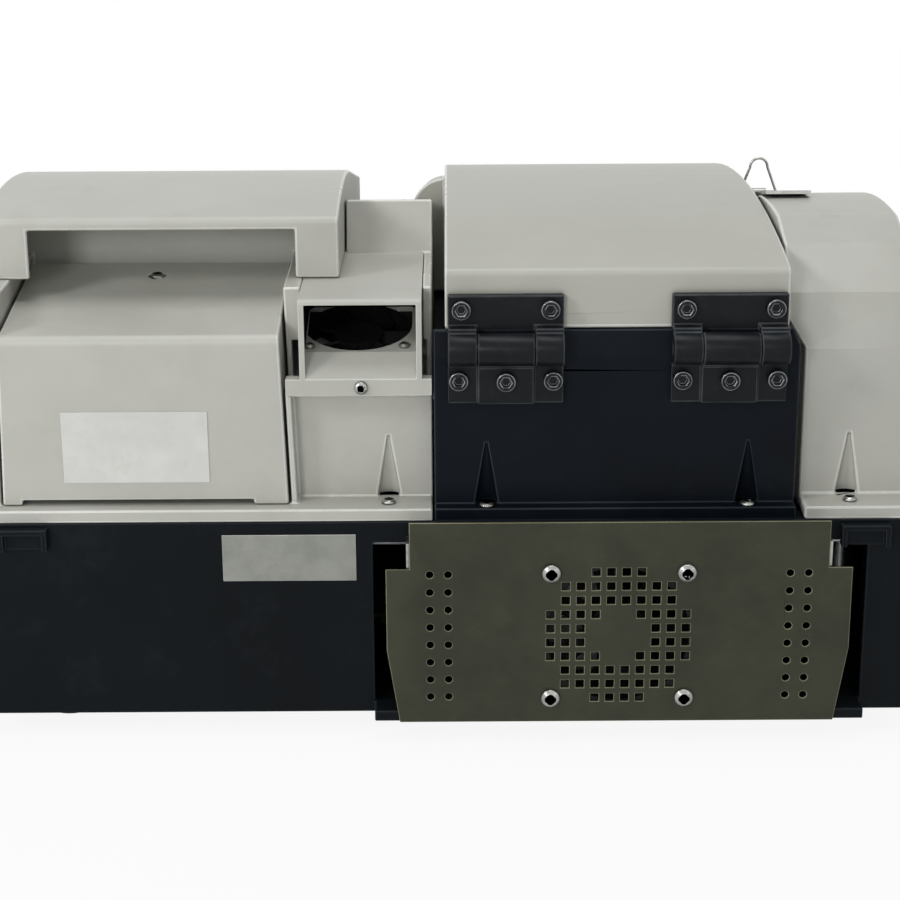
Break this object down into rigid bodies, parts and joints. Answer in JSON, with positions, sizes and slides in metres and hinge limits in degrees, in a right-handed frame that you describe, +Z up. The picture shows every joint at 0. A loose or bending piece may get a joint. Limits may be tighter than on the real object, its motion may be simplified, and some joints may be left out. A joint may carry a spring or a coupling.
{
  "type": "bench spectrophotometer",
  "caption": "Bench UV-visible spectrophotometer: black base, light grey covers, rear-hinged sample lid, lamp house with exhaust hood, rear fan plate.",
  "frame": {"origin": "middle of the bounding box, on the plane the feet stand on", "axes": "+X to the right of someone behind the instrument, +Y from the fan plate to the operator, +Z up"},
  "size_m": [0.5, 0.6, 0.2805],
  "materials": {
    "cover_plastic": "fine grained light grey",
    "lid_plastic": "fine grained light grey",
    "base_paint": "blue-black stove enamel",
    "plate_paint": "olive-grey passivated sheet",
    "hinge_paint": "satin black",
    "panel_paint": "blue-black stove enamel",
    "bright_steel": "bright zinc",
    "black_screw": "black oxide",
    "alloy": "milled",
    "dark_plastic": "moulded black",
    "rubber": "matt",
    "label": "plain foil, bare",
    "quartz": "polished",
    "mirror": "front-silvered",
    "anodised": "black anodised",
    "board": "solder resist",
    "lens": "tinted"
  },
  "bodies": {
    "chassis": {"base_tub": "base_paint", "feet": "rubber", "foot_screws": "bright_steel", "rear_catches": "base_paint", "rating_plate": "label", "bench_pillars": "alloy", "optical_bench": "alloy", "bench_screws": "bright_steel", "fan_plate": "plate_paint", "plate_tabs": "bright_steel", "fan_plate_screws": "bright_steel", "cooling_fan_frame": "dark_plastic", "rear_panel": "panel_paint", "ledge_screws": "bright_steel", "left_housing": "cover_plastic", "upper_left_cover": "cover_plastic", "exhaust_hood": "cover_plastic", "hood_screw": "bright_steel", "exhaust_fan_frame": "dark_plastic", "exhaust_fan_screws": "bright_steel", "right_cover": "cover_plastic", "bail_plate": "bright_steel", "hinge_lower_leaves": "hinge_paint", "hinge_pins": "bright_steel", "panel_hinge_screws": "black_screw", "chamber_tub": "anodised", "chamber_gasket": "rubber", "chamber_windows": "quartz", "cell_holders": "anodised", "front_panel": "cover_plastic", "rocker_bezel": "dark_plastic", "status_lens": "lens", "mains_inlet": "dark_plastic", "data_port": "bright_steel", "lamp_bracket": "alloy", "deuterium_lamp": "quartz", "halogen_lamp": "quartz", "source_motor": "alloy", "mono_box": "anodised", "mono_optics": "mirror", "grating_motor": "anodised", "filter_motor": "anodised", "beam_mirrors": "mirror", "detectors": "anodised", "power_supply": "alloy", "main_board": "board"},
    "lid": {"sample_lid": "lid_plastic", "lid_liner": "anodised", "hinge_upper_leaves": "hinge_paint", "lid_hinge_screws": "black_screw"},
    "lamp_house_cover": {"lamp_cover": "cover_plastic", "lamp_cover_screw": "bright_steel", "blank_label": "label"},
    "cooling_rotor": {"cooling_fan_rotor": "dark_plastic"},
    "exhaust_rotor": {"exhaust_fan_rotor": "dark_plastic"},
    "bail": {"wire_bail": "bright_steel"},
    "rocker": {"power_rocker": "dark_plastic"},
    "lamp_mirror": {"source_mirror": "mirror"},
    "grating": {"grating_table": "mirror"},
    "filters": {"filter_wheel": "anodised"}
  },
  "joints": [
    {"name": "lid_hinge", "type": "hinge", "parent": "chassis", "child": "lid", "pos_m": [0.09, -0.2835, 0.216], "axis": [1, 0, 0], "range_deg": [0, 95]},
    {"name": "lamp_cover_pull", "type": "slide", "parent": "chassis", "child": "lamp_house_cover", "axis": [0, -1, 0], "range_m": [0, 0.18]},
    {"name": "cooling_fan_spin", "type": "hinge", "parent": "chassis", "child": "cooling_rotor", "pos_m": [0.092, -0.2825, 0.062], "axis": [0, 1, 0], "continuous": true},
    {"name": "exhaust_fan_spin", "type": "hinge", "parent": "chassis", "child": "exhaust_rotor", "pos_m": [-0.0455, -0.23234, 0.21678], "axis": [0, -0.2317, 0.9728], "continuous": true},
    {"name": "bail_swing", "type": "hinge", "parent": "chassis", "child": "bail", "pos_m": [0.202, 0.00608, 0.24114], "axis": [1, 0, 0], "range_deg": [-95, 70]},
    {"name": "power_rocker_rock", "type": "hinge", "parent": "chassis", "child": "rocker", "pos_m": [0.205, 0.289, 0.074], "axis": [1, 0, 0], "range_deg": [0, 16]},
    {"name": "lamp_mirror_turn", "type": "hinge", "parent": "chassis", "child": "lamp_mirror", "pos_m": [-0.126, -0.1965, 0.132], "axis": [0, 0, 1], "range_deg": [0, 45]},
    {"name": "grating_turn", "type": "hinge", "parent": "chassis", "child": "grating", "pos_m": [-0.09, 0.0535, 0.122], "axis": [0, 0, 1], "range_deg": [-30, 40]},
    {"name": "filter_wheel_turn", "type": "hinge", "parent": "chassis", "child": "filters", "pos_m": [-0.15, -0.1045, 0.152], "axis": [0, 1, 0], "continuous": true}
  ]
}
